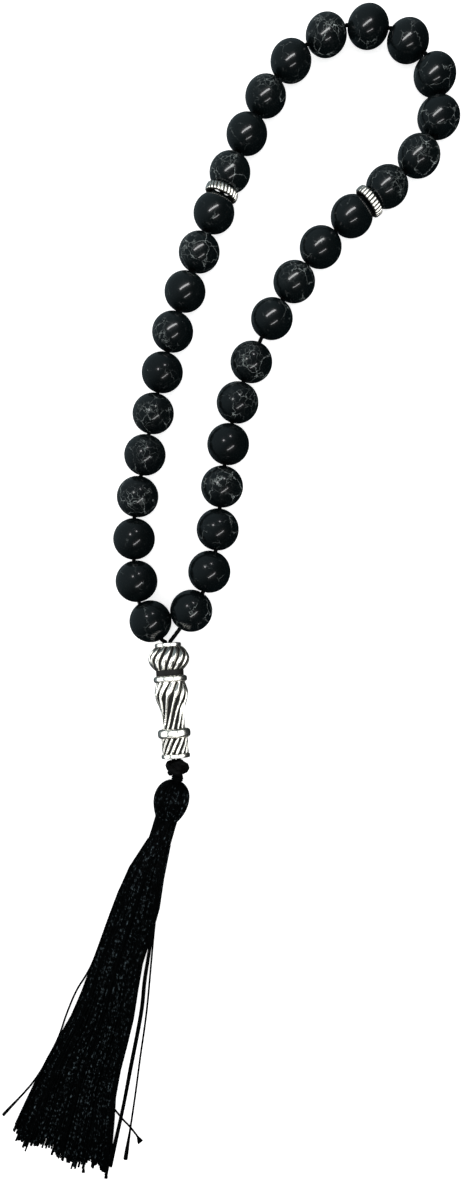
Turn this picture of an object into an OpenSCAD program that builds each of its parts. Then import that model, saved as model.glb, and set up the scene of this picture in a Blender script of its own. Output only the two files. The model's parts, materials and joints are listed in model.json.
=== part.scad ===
// Misbaha: 33 stone beads on one cord, in three elevens set apart by two silver rings.
// Both ends of the cord run through the imam bead to a stop knot, and a silk tassel hangs from it.
// It lies flat. +Y runs from the tassel to the crown of the loop, and +Z points up.

/* [Beads] */
// Diameter of a stone bead
bead_d = 10; // [8:0.5:13]
// How much wider a bead's hole is than the cord
bore_play = 0.6; // [0.4:0.1:1]
// Bare cord between two neighbouring beads
bead_gap = 0.3; // [0.25:0.05:0.6]

/* [Cord] */
// Diameter of the cord
cord_d = 1; // [0.8:0.1:1.3]
// Bare cord between the imam and the first bead on the left, over a bead's diameter
left_arm_share = 0.11; // [0.08:0.01:0.3]
// Bare cord between the imam and the last bead on the right, over a bead's diameter
right_arm_share = 0.37; // [0.3:0.01:0.8]

/* [Spacer rings] */
// Outer diameter of a ring
ring_d = 8.2; // [7:0.1:9]
// Thickness of a ring
ring_t = 1.9; // [1.6:0.1:2.4]
// Bare cord between the two beads that a ring sits over
ring_gap = 0.7; // [0.5:0.1:1.2]

/* [Imam bead] */
// Diameter of the thin rims at the two ends
rim_d = 6.2; // [5.4:0.1:7]
// Thickness of those rims
rim_t = 1; // [0.8:0.1:1.5]
// Diameter of the onion-shaped bulb
bulb_d = 9.7; // [8:0.1:11]
// Height of the bulb
bulb_h = 5.4; // [4.5:0.1:7]
// Height of the groove under the bulb
groove_h = 1.4; // [1:0.1:2]
// Diameter of the upper collar
collar_d = 7.8; // [7:0.1:9]
// Height of the upper collar
collar_h = 1.4; // [1:0.1:2]
// Greatest diameter of the vase
vase_d = 7.8; // [6.6:0.1:9]
// Diameter of the vase's foot
vase_foot_d = 5.4; // [5:0.1:6.5]
// Height of the vase
vase_h = 11; // [8:0.5:15]
// Height of the lower collar
foot_collar_h = 2; // [1.5:0.1:3]
// Height of the drum
drum_h = 3.8; // [3:0.1:5]
// Angle by which the imam leans from the loop's middle line, degrees
imam_lean = 4.5; // [0:0.5:15]

/* [Knot] */
// Width of the stop knot
knot_d = 5.9; // [5:0.1:7]
// Height of the stop knot
knot_h = 3.7; // [3.2:0.1:5]
// Gap between the knot and the cord crossing that the tassel swings about
neck_above = 0.1; // [0.1:0.1:1.5]
// Gap between that crossing and the tassel's head
neck_below = 0.3; // [0.3:0.1:1.5]

/* [Tassel] */
// Diameter of the tassel's head
head_d = 8.4; // [7:0.1:9.5]
// Height of the tassel's head
head_h = 9; // [8:0.2:12]
// Diameter of the bound neck below the head
binding_d = 5; // [4:0.1:6]
// Height of the bound neck
binding_h = 7.4; // [5:0.2:10]
// Length of the loose threads below the binding
skirt_l = 73; // [50:1:100]
// Width of the threads where they end
skirt_w = 24; // [16:1:34]
// Thickness of the threads as they lie
skirt_t = 4.2; // [3:0.2:5]
// Angle by which the tassel leans, degrees
tassel_lean = 17; // [0:1:25]

/* [Hidden] */
$fn = 48;
SIDE_BEADS = 16; // beads on each side of the top bead
BEADS = 2 * SIDE_BEADS + 1;
RINGS = [11, 22]; // a ring follows each of these beads
// Cord that the beads leave bare beyond the even gap, as [after which bead, how much]
SLACK = [
    [1, 0.2], [14, 0.3], [15, 0.4], [16, 0.4], [17, 0.7], [18, 1.2], [19, 0.9], [20, 0.5],
    [26, 1.2]
];
// Rows fold on each other. Each row is [first bead, last bead] of its left side, and the
// rings hold the eleventh and twelfth beads in one row.
ROWS = concat([for (n = [1:10]) [n, n]], [[11, 12]], [for (n = [13:16]) [n, n]]);
// The cord's line round the loop, from the imam's mouth and back, in the plane it lies in
ROUTE = [
    [-2, 1.5], [-7, 9.5], [-8.5, 20], [-8.5, 30], [-7, 40], [-3, 60.5], [2, 80.5], [9, 100],
    [16.5, 119], [26, 138], [33, 145.5], [43, 150], [54.5, 148], [63, 140], [66.5, 129.5],
    [64, 119], [56.5, 111], [40, 98], [27.5, 82], [18, 62], [13.5, 41.5], [11.5, 21.5],
    [8.5, 12], [3, 3.5]
];
ROUTE_STEPS = 10; // straight steps that each span of the smooth line is measured in

function two_digits(n) = n < 10 ? str("0", n) : str(n);
function bead_name(n) = str("bead_", two_digits(n));
function row_name(k) = str("cord_row_", two_digits(ROWS[k][0]));

bead_r = bead_d / 2;
cord_r = cord_d / 2;
bore_d = cord_d + bore_play;
left_arm = left_arm_share * bead_d;
right_arm = right_arm_share * bead_d;
turn_clear = 0.1; // free gap round a rounded cord end, where the cord bends
slip = 0.3; // gap between two loose pieces that would otherwise rub

// Imam, measured down its own axis from the mouth
imam_l = 2 * rim_t + bulb_h + groove_h + collar_h + vase_h + foot_collar_h + drum_h;
cord_pitch = cord_d + 0.2; // the two cords lie side by side inside it
imam_bore_d = cord_pitch + cord_d + bore_play;
groove_d = rim_d + 0.4;
drum_d = rim_d;
foot_collar_d = collar_d - 0.2;
knot_top = imam_l + slip;
knot_low = knot_top + knot_h;
neck_at = knot_low + neck_above + cord_r;

function turned(p, a) = [p[0] * cos(a) - p[1] * sin(a), p[0] * sin(a) + p[1] * cos(a)];
function total(v, i = 0) = i < len(v) ? v[i] + total(v, i + 1) : 0;
function mouth(side) = turned([side * cord_pitch / 2, slip], imam_lean);
neck = turned([0, -neck_at], imam_lean);

// Catmull-Rom curve through the route, from one pivot at the mouth to the other
function line_pt(p, i) = p[max(0, min(len(p) - 1, i))];
function smooth_pt(p, i, t) =
    let (a = line_pt(p, i - 1), b = line_pt(p, i), c = line_pt(p, i + 1), d = line_pt(p, i + 2))
    0.5 * (2 * b + (c - a) * t + (2 * a - 5 * b + 4 * c - d) * t * t
        + (3 * b - a - 3 * c + d) * t * t * t);
function smooth_line(p) = concat(
    [for (i = [0:len(p) - 2]) for (j = [0:ROUTE_STEPS - 1]) smooth_pt(p, i, j / ROUTE_STEPS)],
    [p[len(p) - 1]]
);
function running(p, i = 0, s = 0) =
    concat([s], i < len(p) - 1 ? running(p, i + 1, s + norm(p[i + 1] - p[i])) : []);

// Cord used by each bead: its own width and half of the bare cord on either side of it
function slack(n) = total([for (s = SLACK) if (s[0] == n) s[1]]);
function is_ring(n) = len([for (r = RINGS) if (r == n) r]) > 0;
function gap(n) = (is_ring(n) ? ring_gap : bead_gap) + slack(n);
function share(n) = bead_d + (gap(n - 1) + gap(n)) / 2;
strand_l = left_arm + total([for (n = [1:BEADS]) share(n)]) + right_arm;

// The route is scaled until the beads just fill it
raw = smooth_line(concat([mouth(-1)], ROUTE, [mouth(1)]));
raw_l = running(raw)[len(raw) - 1];
function loop_line(k) = smooth_line(concat([mouth(-1)], k * ROUTE, [mouth(1)]));
function line_l(k) = let (r = running(loop_line(k))) r[len(r) - 1];
grow_1 = strand_l / raw_l;
grow = grow_1 * strand_l / line_l(grow_1);
line = loop_line(grow);
run = running(line);
X_AT = [for (i = [0:len(line) - 1]) [run[i], line[i][0]]];
Y_AT = [for (i = [0:len(line) - 1]) [run[i], line[i][1]]];

// The cord bends only between beads: bend(n) is the point midway between beads n and n + 1
BEND_AT = running_sum([for (n = [1:BEADS]) share(n)], left_arm);
function running_sum(v, s, i = 0) =
    concat([s], i < len(v) ? running_sum(v, s + v[i], i + 1) : []);
BENDS = [for (s = BEND_AT) [lookup(s, X_AT), lookup(s, Y_AT)]];
function bend(n) = BENDS[n];
// A bead leaves half of each gap bare on its side
function bead_share(n) = (gap(n - 1) / 2 + bead_r) / share(n);
function bead_at(n) = bend(n - 1) + bead_share(n) * (bend(n) - bend(n - 1));
function bead_turn(n) = let (d = bend(n) - bend(n - 1)) atan2(d[1], d[0]);

// Tassel, measured down its own axis from the neck link's centre
head_from = cord_r + neck_below;
binding_from = head_from + head_h;
skirt_from = binding_from + binding_h;
head_lift = 0.1; // how far the head clears the surface
binding_lift = 1; // how far the head holds the binding off it
head_z = min(0, head_lift + head_d / 2 - bead_r);
binding_z = binding_lift + binding_d / 2 - bead_r;
skirt_z = skirt_t / 2 - bead_r;
loop_d = 1.8 * cord_d; // the tassel's doubled cord, pressed together
loop_knot_d = 3.4 * cord_d; // its knot, which the head holds
loop_knot_at = 0.45 * head_h; // where that knot begins inside the head

// The origin is under the middle of everything
xs = [for (n = [1:BEADS]) bead_at(n)[0]];
ys = [for (n = [1:BEADS]) bead_at(n)[1]];
skirt_end = [for (s = [-1, 1]) neck + turned([s * skirt_w / 2, -skirt_from - skirt_l], -tassel_lean)];
low_x = min(min(xs) - bead_r, skirt_end[0][0], skirt_end[1][0]);
high_x = max(max(xs) + bead_r, skirt_end[0][0], skirt_end[1][0]);
low_y = min(skirt_end[0][1], skirt_end[1][1]);
high_y = max(ys) + bead_r;
origin = [(low_x + high_x) / 2, (low_y + high_y) / 2];

module placed() translate([-origin[0], -origin[1], bead_r]) children();
module on_imam() placed() rotate([0, 0, imam_lean]) children();
module on_tassel() placed() translate([neck[0], neck[1], 0]) rotate([0, 0, -tassel_lean]) children();
// Stands a revolved piece on the axis that runs down from the mouth or the neck
module down_axis(from, z = 0) translate([0, -from, z]) rotate([90, 0, 0]) children();
function arc(c, rx, ry, a0, a1, n) =
    [for (i = [0:n]) let (a = a0 + (a1 - a0) * i / n) [c[0] + rx * cos(a), c[1] + ry * sin(a)]];

// A straight length of cord: flat where it starts, a little clear of the bend, and rounded on
// the bend where it ends
module cord_rod(a, b, rounded = true, r = cord_r) {
    start = r + turn_clear;
    end = norm(b - a);
    tip = rounded ? arc([0, end], r, r, 0, 90, 5) : [[r, end - start], [0, end - start]];
    translate([a[0], a[1], 0])
        rotate([0, 0, atan2(b[1] - a[1], b[0] - a[0])])
            rotate([90, 0, 90])
                rotate_extrude() polygon(concat([[0, start], [r, start]], tip));
}

// A round bead with a straight hole, turned as one ring so that its walls stay true
module bead(n) {
    color("#16181a")
        placed() translate([bead_at(n)[0], bead_at(n)[1], 0]) rotate([0, 0, bead_turn(n)])
            rotate([0, 90, 0]) rotate_extrude() difference() {
                circle(d = bead_d);
                translate([-bead_d, -bead_d]) square([bead_d + bore_d / 2, 2 * bead_d]);
            }
}

// The two cords of one row, one on each side of the loop
module cord_row(k) {
    first = ROWS[k][0];
    last = ROWS[k][1];
    left = concat(k == 0 ? [mouth(-1)] : [], [for (n = [first - 1:last]) bend(n)]);
    right = concat(k == 0 ? [mouth(1)] : [], [for (n = [first - 1:last]) bend(BEADS - n)]);
    color("#0d0d0e") placed() {
        for (side = [left, right])
            for (i = [0:len(side) - 2]) cord_rod(side[i], side[i + 1]);
        if (last == SIDE_BEADS) cord_rod(bend(SIDE_BEADS), bend(SIDE_BEADS + 1), false);
    }
}

// A ring nests in the groove between two beads, which nearly meet inside its hole
module spacer(n) {
    nest = pow(bead_r, 2) - pow((bead_d + ring_gap - ring_t) / 2, 2);
    hole_r = sqrt(nest) + slip;
    edge = ring_t / 4;
    turn = (bead_turn(n) + bead_turn(n + 1)) / 2;
    color("#c9c7c1") placed() translate([bend(n)[0], bend(n)[1], 0])
        rotate([0, 0, turn]) rotate([0, 90, 0])
            rotate_extrude() polygon([
                [hole_r, -ring_t / 2], [ring_d / 2 - edge, -ring_t / 2], [ring_d / 2, -edge],
                [ring_d / 2, edge], [ring_d / 2 - edge, ring_t / 2], [hole_r, ring_t / 2]
            ]);
}

// Both ends of the cord, side by side through the imam and into the stop knot
module cord_tail() {
    color("#0d0d0e") on_imam() {
        for (side = [-1, 1])
            cord_rod_up([side * cord_pitch / 2, -knot_top], [side * cord_pitch / 2, slip]);
    }
}

module cord_rod_up(a, b) {
    translate([a[0], a[1], 0]) rotate([-90, 0, 0])
        rotate_extrude() polygon(concat([[0, 0], [cord_r, 0]],
            arc([0, b[1] - a[1]], cord_r, cord_r, 0, 90, 5)));
}

module stop_knot() {
    waist = 0.9 * cord_d;
    color("#0d0d0e") on_imam() down_axis(knot_top)
        rotate_extrude() polygon(concat([[0, 0]],
            arc([waist, knot_h / 2], knot_d / 2 - waist, knot_h / 2, -90, 90, 10), [[0, knot_h]]));
}

// Silver bead shaped like a minaret, bored for the two cords
module imam_bead() {
    bulb_top = rim_t;
    groove_top = bulb_top + bulb_h;
    collar_top = groove_top + groove_h;
    vase_top = collar_top + collar_h;
    foot_top = vase_top + vase_h;
    drum_top = foot_top + foot_collar_h;
    base_top = drum_top + drum_h;
    base_r = rim_d / 2 + 0.2;
    round_r = collar_h / 3;
    // the vase narrows evenly from groove to foot, and swells by half a sine wave on top
    swell = vase_d / 2 - (groove_d + vase_foot_d) / 4;
    vase = [for (u = [0:0.125:1])
        [groove_d / 2 + (vase_foot_d - groove_d) / 2 * u + swell * sin(180 * u),
            vase_top + vase_h * u]];
    outline = concat(
        [[0, 0], [rim_d / 2, 0], [rim_d / 2, bulb_top]],
        arc([rim_d / 2, bulb_top + bulb_h / 2], (bulb_d - rim_d) / 2, bulb_h / 2, -90, 90, 10),
        [[groove_d / 2, groove_top], [groove_d / 2, collar_top]],
        [[collar_d / 2 - round_r, collar_top], [collar_d / 2, collar_top + round_r]],
        [[collar_d / 2, vase_top - round_r], [collar_d / 2 - round_r, vase_top]],
        vase,
        [[foot_collar_d / 2 - round_r, foot_top], [foot_collar_d / 2, foot_top + round_r]],
        [[foot_collar_d / 2, drum_top - round_r], [foot_collar_d / 2 - round_r, drum_top]],
        [[drum_d / 2, drum_top], [drum_d / 2, base_top]],
        [[base_r, base_top], [base_r, imam_l], [0, imam_l]]
    );
    color("#c9c7c1") on_imam() down_axis(0) difference() {
        rotate_extrude() polygon(outline);
        translate([0, 0, -1]) cylinder(d = imam_bore_d, h = imam_l + 2);
    }
}

// The crossing of two cord loops, which lets the tassel swing every way
module neck_link() {
    color("#0d0d0e") on_tassel() sphere(d = cord_d);
}

// The tassel's own cord loop, with the knot inside the head that holds it
module tassel_loop() {
    top = cord_r + turn_clear;
    knot_r = loop_knot_d / 2;
    knot_centre = head_from + loop_knot_at + knot_r - top;
    color("#0d0d0e") on_tassel() down_axis(top)
        rotate_extrude() polygon(concat([[0, 0], [loop_d / 2, 0]],
            arc([0, knot_centre], knot_r, knot_r, -acos(loop_d / loop_knot_d), 90, 8)));
}

// A ball of thread, widest a little above its middle, over the loop and its knot
module tassel_head() {
    neck_r = binding_d / 2;
    channel_r = loop_d / 2 + slip;
    mouth_r = channel_r + 0.1;
    wide = head_h * 0.48;
    color("#0d0d0e") on_tassel() down_axis(head_from, head_z) difference() {
        rotate_extrude() polygon(concat(
            [[0, 0]],
            arc([mouth_r, wide], head_d / 2 - mouth_r, wide, -90, 0, 8),
            arc([neck_r, wide], head_d / 2 - neck_r, head_h - wide, 10, 90, 8),
            [[0, head_h]]
        ));
        // the channel for the loop and the pocket for its knot
        knot_centre = loop_knot_at + loop_knot_d / 2;
        translate([0, -head_z, -1]) cylinder(r = channel_r, h = 1 + knot_centre);
        translate([0, -head_z, knot_centre]) sphere(d = loop_knot_d + slip);
    }
}

// Fine cord wound round the threads under the head
module tassel_binding() {
    color("#0d0d0e") on_tassel() down_axis(binding_from, binding_z)
        cylinder(d = binding_d, h = binding_h);
}

// The loose threads as one plain body: round under the binding and flat where they lie
module tassel_skirt() {
    color("#0d0d0e") on_tassel() hull() {
        down_axis(skirt_from, binding_z) cylinder(d = binding_d, h = 1, $fn = 32);
        for (side = [-1, 1])
            translate([side * (skirt_w - skirt_t) / 2, 0, 0])
                down_axis(skirt_from + skirt_l - 1, skirt_z) cylinder(d = skirt_t, h = 1, $fn = 32);
    }
}

cord_tail();
stop_knot();
imam_bead();
for (k = [0:len(ROWS) - 1]) cord_row(k);
for (n = [1:BEADS]) bead(n);
spacer(RINGS[0]);  // spacer_left
spacer(RINGS[1]);  // spacer_right
neck_link();
tassel_loop();
tassel_head();
tassel_binding();
tassel_skirt();
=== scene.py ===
import json
import math
import bpy
import numpy as np
from mathutils import Matrix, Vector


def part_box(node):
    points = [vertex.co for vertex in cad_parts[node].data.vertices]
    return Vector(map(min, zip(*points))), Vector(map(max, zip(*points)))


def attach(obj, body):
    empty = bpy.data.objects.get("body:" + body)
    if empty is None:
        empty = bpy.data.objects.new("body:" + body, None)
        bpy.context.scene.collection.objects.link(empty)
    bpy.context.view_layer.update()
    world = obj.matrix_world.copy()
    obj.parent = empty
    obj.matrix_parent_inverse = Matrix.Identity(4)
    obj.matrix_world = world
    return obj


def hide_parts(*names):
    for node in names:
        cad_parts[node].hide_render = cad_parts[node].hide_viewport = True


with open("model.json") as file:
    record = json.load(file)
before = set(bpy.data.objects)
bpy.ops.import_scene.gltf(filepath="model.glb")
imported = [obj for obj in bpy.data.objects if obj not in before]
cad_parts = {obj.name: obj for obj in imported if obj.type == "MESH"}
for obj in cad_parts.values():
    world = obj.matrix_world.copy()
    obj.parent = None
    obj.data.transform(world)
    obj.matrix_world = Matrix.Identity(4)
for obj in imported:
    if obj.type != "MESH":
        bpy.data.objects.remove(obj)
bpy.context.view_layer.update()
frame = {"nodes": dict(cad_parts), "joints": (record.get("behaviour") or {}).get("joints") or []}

# ---- Camera, table and lights ------------------------------------------------------------------
# The misbaha lies on a pale table and is seen from a hand's length above it, a little from the
# right. Two long thin lamps hang over it, one on each side of the camera, and each of them leaves
# one slanted streak in every bead. The rest of the light is soft and even.
MM = 0.001
joints = {joint["name"]: joint for joint in frame["joints"]}


def unit(directions):
    """The same directions, each one unit long."""
    return directions / np.linalg.norm(directions, axis=-1, keepdims=True)


def joint_point(name):
    """Where a joint is, in metres."""
    return np.array(joints[name]["pos_m"], float)


def joint_heading(name):
    """The direction of a joint's axis, one unit long."""
    return unit(np.array(joints[name]["axis"], float))


def cad_points(node):
    """Every corner of a CAD node's mesh, as rows of x, y and z."""
    mesh = frame["nodes"][node].data
    corners = np.empty(3 * len(mesh.vertices), np.float32)
    mesh.vertices.foreach_get("co", corners)
    return corners.reshape(-1, 3).astype(float)


def stand(thing, x, y, z, at):
    """Puts a camera or a lamp at a place, with its own three axes along x, y and z."""
    pose = np.eye(4)
    pose[:3, 0], pose[:3, 1], pose[:3, 2], pose[:3, 3] = x, y, z, at
    thing.matrix_world = Matrix(pose.tolist())
    bpy.context.scene.collection.objects.link(thing)


imam_up = joint_heading("imam_spin")
imam_right = np.array([imam_up[1], -imam_up[0], 0.0])
imam_reach = cad_points("imam_bead") @ imam_up
imam_length = np.ptp(imam_reach)
mouth = joint_point("imam_spin") + imam_up * imam_length / 2

CAMERA_FROM_MOUTH = np.array([54.0, -7.6, 227.6]) * MM
TARGET_FROM_MOUTH = np.array([14.8, 12.8, -5.0]) * MM
SENSOR, LENS = 36.0, 30.08  # mm: the sensor's long side and the focal length

camera = bpy.data.objects.new("camera", bpy.data.cameras.new("camera"))
look = unit(TARGET_FROM_MOUTH - CAMERA_FROM_MOUTH)
right = unit(np.cross(look, [0.0, 1.0, 0.0]))
stand(camera, right, np.cross(right, look), -look, mouth + CAMERA_FROM_MOUTH)
camera.data.sensor_width = SENSOR
camera.data.lens = LENS
camera.data.clip_start, camera.data.clip_end = 0.01, 20.0
bpy.context.scene.camera = camera
bpy.context.scene.view_settings.view_transform = "Standard"


def colour(code):
    """An sRGB hex code as the linear colour, with alpha, that the shaders take."""
    shares = [int(code[i:i + 2], 16) / 255 for i in (1, 3, 5)]
    return [s / 12.92 if s <= 0.04045 else ((s + 0.055) / 1.055) ** 2.4 for s in shares] + [1.0]


def add_node(tree, kind, values=(), links=(), **settings):
    """Adds a node with its settings, the values of its free sockets and its incoming links."""
    added = tree.nodes.new("ShaderNode" + kind)
    for key, value in settings.items():
        setattr(added, key, value)
    for socket, value in dict(values).items():
        added.inputs[socket].default_value = value
    for socket, source in dict(links).items():
        tree.links.new(source, added.inputs[socket])
    return added


def new_material(name):
    """An empty material and its node tree."""
    material = bpy.data.materials.new(name)
    material.use_nodes = True
    material.node_tree.nodes.clear()
    return material, material.node_tree


def finish_material(tree, shader):
    """Sends a shader to the material's output."""
    add_node(tree, "OutputMaterial", links={"Surface": shader.outputs[0]})


# Opal light table: matt and white, and lit from below so that it shows next to no shadow.
light_table, tree = new_material("opal_light_table")
place = add_node(tree, "TexCoord").outputs["Object"]
CLOUD = 333.3  # mm, the width of a barely darker patch
cloud = add_node(tree, "TexNoise", {"Scale": 1000 / CLOUD, "Detail": 2.0}, {"Vector": place})
tone = add_node(tree, "ValToRGB", {}, {"Fac": cloud.outputs["Fac"]})
tone.color_ramp.elements[0].color = colour("#f1f2f2")
tone.color_ramp.elements[1].color = colour("#f8f8f8")
finish_material(tree, add_node(tree, "BsdfPrincipled",
                               {"Roughness": 0.9, "Specular IOR Level": 0.2, "Emission Strength": 0.7},
                               {"Base Color": tone.outputs[0], "Emission Color": tone.outputs[0]}))

TABLE_SIDE = 3.0
bpy.ops.mesh.primitive_plane_add(size=TABLE_SIDE)
table = bpy.context.object
table.name = "table"
table.data.materials.append(light_table)
table.visible_glossy = False  # the polished stone keeps its black rim, as over a dull cloth


def lamp(name, at, toward, size, radiance, run=0.0, receivers=None):
    """A flat lamp. Its power is radiance x pi x area, and run turns its long side from +X."""
    data = bpy.data.lights.new(name, "AREA")
    data.shape, data.size, data.size_y = "RECTANGLE", size[0] * MM, size[1] * MM
    data.energy = radiance * math.pi * data.size * data.size_y
    light = bpy.data.objects.new(name, data)
    back = unit(np.array(at, float) - toward)
    run = math.radians(run)
    long_side = np.array([math.cos(run), math.sin(run), 0.0])
    long_side = unit(long_side - back * (long_side @ back))
    stand(light, long_side, np.cross(back, long_side), back, mouth + np.array(at) * MM)
    if receivers:
        light.light_linking.receiver_collection = receivers


# Places from the imam's mouth and sizes in mm, and each long lamp's turn in degrees
UPPER_AT, LOWER_AT, TO_LOOP = (26, 105, 147), (91, -65, 155), (18, 60, 0)
UPPER_SIZE, LOWER_SIZE, END_SIZE = (170, 24), (164, 14), (22, 22)
UPPER_RUN, LOWER_RUN = 36, 33
END_REACH = 0.36 * UPPER_SIZE[0]  # from the upper lamp's middle
far_beads = bpy.data.collections.new("beads_under_the_upper_lamp")
near_beads = bpy.data.collections.new("beads_by_the_imam")
lamp("lamp_upper", UPPER_AT, TO_LOOP, UPPER_SIZE, 9.5, UPPER_RUN, far_beads)
lamp("lamp_lower", LOWER_AT, TO_LOOP, LOWER_SIZE, 8.5, LOWER_RUN)
# The beads by the imam get two small lamps at the upper lamp's two ends instead of that lamp,
# and so show two dots.
for name, reach in (("lamp_end_left", -END_REACH), ("lamp_end_right", END_REACH)):
    end = (UPPER_AT[0] + reach * math.cos(math.radians(UPPER_RUN)),
           UPPER_AT[1] + reach * math.sin(math.radians(UPPER_RUN)), UPPER_AT[2])
    lamp(name, end, TO_LOOP, END_SIZE, 8.5, UPPER_RUN, near_beads)

# The room: white for the table and the eye, and for gloss a dim one that is lighter to the upper
# left, so that the black stone keeps a soft tone there and none on the other side.
LIGHTER_SIDE = (-0.55, 0.45, 0.35)
world = bpy.data.worlds.new("room")
bpy.context.scene.world = world
world.use_nodes = True
room = world.node_tree
room.nodes.clear()
ray = add_node(room, "TexCoord").outputs["Generated"]
lean = add_node(room, "VectorMath", {1: LIGHTER_SIDE}, {0: ray}, operation="DOT_PRODUCT")
glow = add_node(room, "MapRange",
                {"From Min": -0.3, "From Max": 0.8, "To Min": 0.01, "To Max": 0.22},
                {"Value": lean.outputs["Value"]}, interpolation_type="SMOOTHSTEP")
dim = add_node(room, "Background", {"Color": colour("#d3eefa")}, {"Strength": glow.outputs[0]})
bright = add_node(room, "Background", {"Color": colour("#ffffff"), "Strength": 1.05})
path = add_node(room, "LightPath")
mixed = add_node(room, "MixShader", {},
                 {0: path.outputs["Is Glossy Ray"], 1: bright.outputs[0], 2: dim.outputs[0]})
add_node(room, "OutputWorld", {}, {"Surface": mixed.outputs[0]})

# ---- Stringing cord ----------------------------------------------------------------------------
# One length of black waxed cord, 1 mm thick and laid from three plies. It runs through every bead
# and ring, and both its ends go side by side through the imam into the stop knot. It bends only
# where it is bare, between two beads, so each row of the loop has its own two stretches of it.
UP = np.array([0.0, 0.0, 1.0])
BEADS = 33
SIDE_BEADS = 16
SLIDING_BEAD = 27
CORD_RADIUS = 0.5 * MM
CORD_PLIES = 3
CORD_LAY = 3.2 * MM  # length in which a ply goes once round
PLY_DEPTH = 0.10  # of the radius


def outwards(points, faces):
    """The faces, all turned over if they enclose less than nothing: the volume is a sixth of the
    sum of a.(b x c) + a.(c x d) over the faces."""
    a, b, c = points[faces[:, 0]], points[faces[:, 1]], points[faces[:, 2]]
    d = points[faces[:, -1]]
    volume = np.einsum("ij,ij->", a, np.cross(b, c)) + np.einsum("ij,ij->", a, np.cross(c, d))
    return faces if volume > 0 else faces[:, ::-1]


def put_mesh(name, points, quads, material, caps=None, crease=180, **attributes):
    """Makes a mesh of four-cornered faces and end caps, with values on its corners. It is smooth,
    but for edges that turn by more than crease degrees."""
    points = points.reshape(-1, 3)
    turned = outwards(points, quads)
    faces = turned.tolist()
    if caps is not None:
        same = turned[0, 0] == quads[0, 0]
        faces += (caps if same else caps[:, ::-1]).tolist()
    mesh = bpy.data.meshes.new(name)
    mesh.from_pydata(points.tolist(), [], faces)
    mesh.shade_smooth()
    if crease < 180:
        mesh.set_sharp_from_angle(angle=math.radians(crease))
    for key, values in attributes.items():
        layer = mesh.attributes.new(key, "FLOAT", "POINT")
        layer.data.foreach_set("value", np.ascontiguousarray(values, np.float32).ravel())
    mesh.materials.append(material)
    piece = bpy.data.objects.new(name, mesh)
    bpy.context.scene.collection.objects.link(piece)
    return piece


def all_round(count):
    """Even angles in radians once round a circle."""
    return 2 * np.pi * np.arange(count) / count


def pole_to_pole(steps, gap=0.02):
    """Even angles in radians from one pole of a ball to the other, less a gap at each end."""
    return np.linspace(gap, np.pi - gap, steps)


def grid_quads(rows, columns, close_rows=False):
    """Faces of a grid that closes on itself across its columns, and along its rows if asked."""
    r = np.arange(rows if close_rows else rows - 1)[:, None]
    c = np.arange(columns)[None, :]
    below, beside = (r + 1) % rows, (c + 1) % columns
    corners = [r * columns + c, r * columns + beside, below * columns + beside, below * columns + c]
    return np.stack(np.broadcast_arrays(*corners), -1).reshape(-1, 4)


def end_caps(rows, columns):
    """The flat faces that close the first and the last row of such a grid."""
    row = np.arange(columns)
    return np.stack([row[::-1], (rows - 1) * columns + row])


def tubes(paths, radii, sides, reference=UP):
    """Round tubes along paths of shape (tubes, steps, 3).

    Each ring is path + r (cos a x side + sin a x top): side is square to the heading and to the
    reference direction, and top is square to the heading and to side. radii may be one number or
    an array of shape (tubes, steps, sides). Both ends are closed with a flat face.
    """
    count, steps = paths.shape[:2]
    heading = unit(np.gradient(paths, axis=1))
    side = unit(np.cross(heading, np.broadcast_to(reference, heading.shape)))
    top = np.cross(side, heading)
    a = all_round(sides)[:, None]
    spread = side[:, :, None] * np.cos(a) + top[:, :, None] * np.sin(a)
    radii = np.broadcast_to(np.asarray(radii, float), (count, steps, sides))
    points = paths[:, :, None] + radii[..., None] * spread
    starts = np.arange(count)[:, None, None] * steps * sides
    quads = (starts + grid_quads(steps, sides)).reshape(-1, 4)
    caps = (starts + end_caps(steps, sides)).reshape(-1, sides)
    return points, quads, caps


def bead_line(n):
    """A bead's centre and the heading of the cord through it, from the imam round the loop. The
    one bead that slides goes the other way on it, and the rest turn on it."""
    low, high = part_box("bead_%02d" % n)
    centre = np.array((low + high) / 2)
    if n == SLIDING_BEAD:
        return centre, -joint_heading("bead_27_slide")
    return centre, joint_heading("turn_bead_%02d" % n)


lines = {n: bead_line(n) for n in range(1, BEADS + 1)}


def bend_after(n):
    """Where the cord bends between beads n and n + 1: the point on bead n's line that is as far
    from one centre as from the other, s = |d|^2 / (2 d.heading), with d from centre to centre."""
    (here, heading), (there, _) = lines[n], lines[n + 1]
    apart = there - here
    return here + heading * (apart @ apart) / (2 * apart @ heading)


CORDS_APART = 1.2 * MM  # between the two cords, middle to middle, inside the imam
CORD_OUT = 0.3 * MM  # how far the imam's mouth lets them stand out
mouth_points = {side: mouth + imam_right * side * CORDS_APART / 2 + imam_up * CORD_OUT
                for side in (-1, 1)}
bends = {n: bend_after(n) for n in range(1, BEADS)}
first_centre, first_heading = lines[1]
last_centre, last_heading = lines[BEADS]
bends[0] = first_centre - first_heading * np.linalg.norm(bends[1] - first_centre)
bends[BEADS] = last_centre + last_heading * np.linalg.norm(bends[BEADS - 1] - last_centre)


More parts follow.
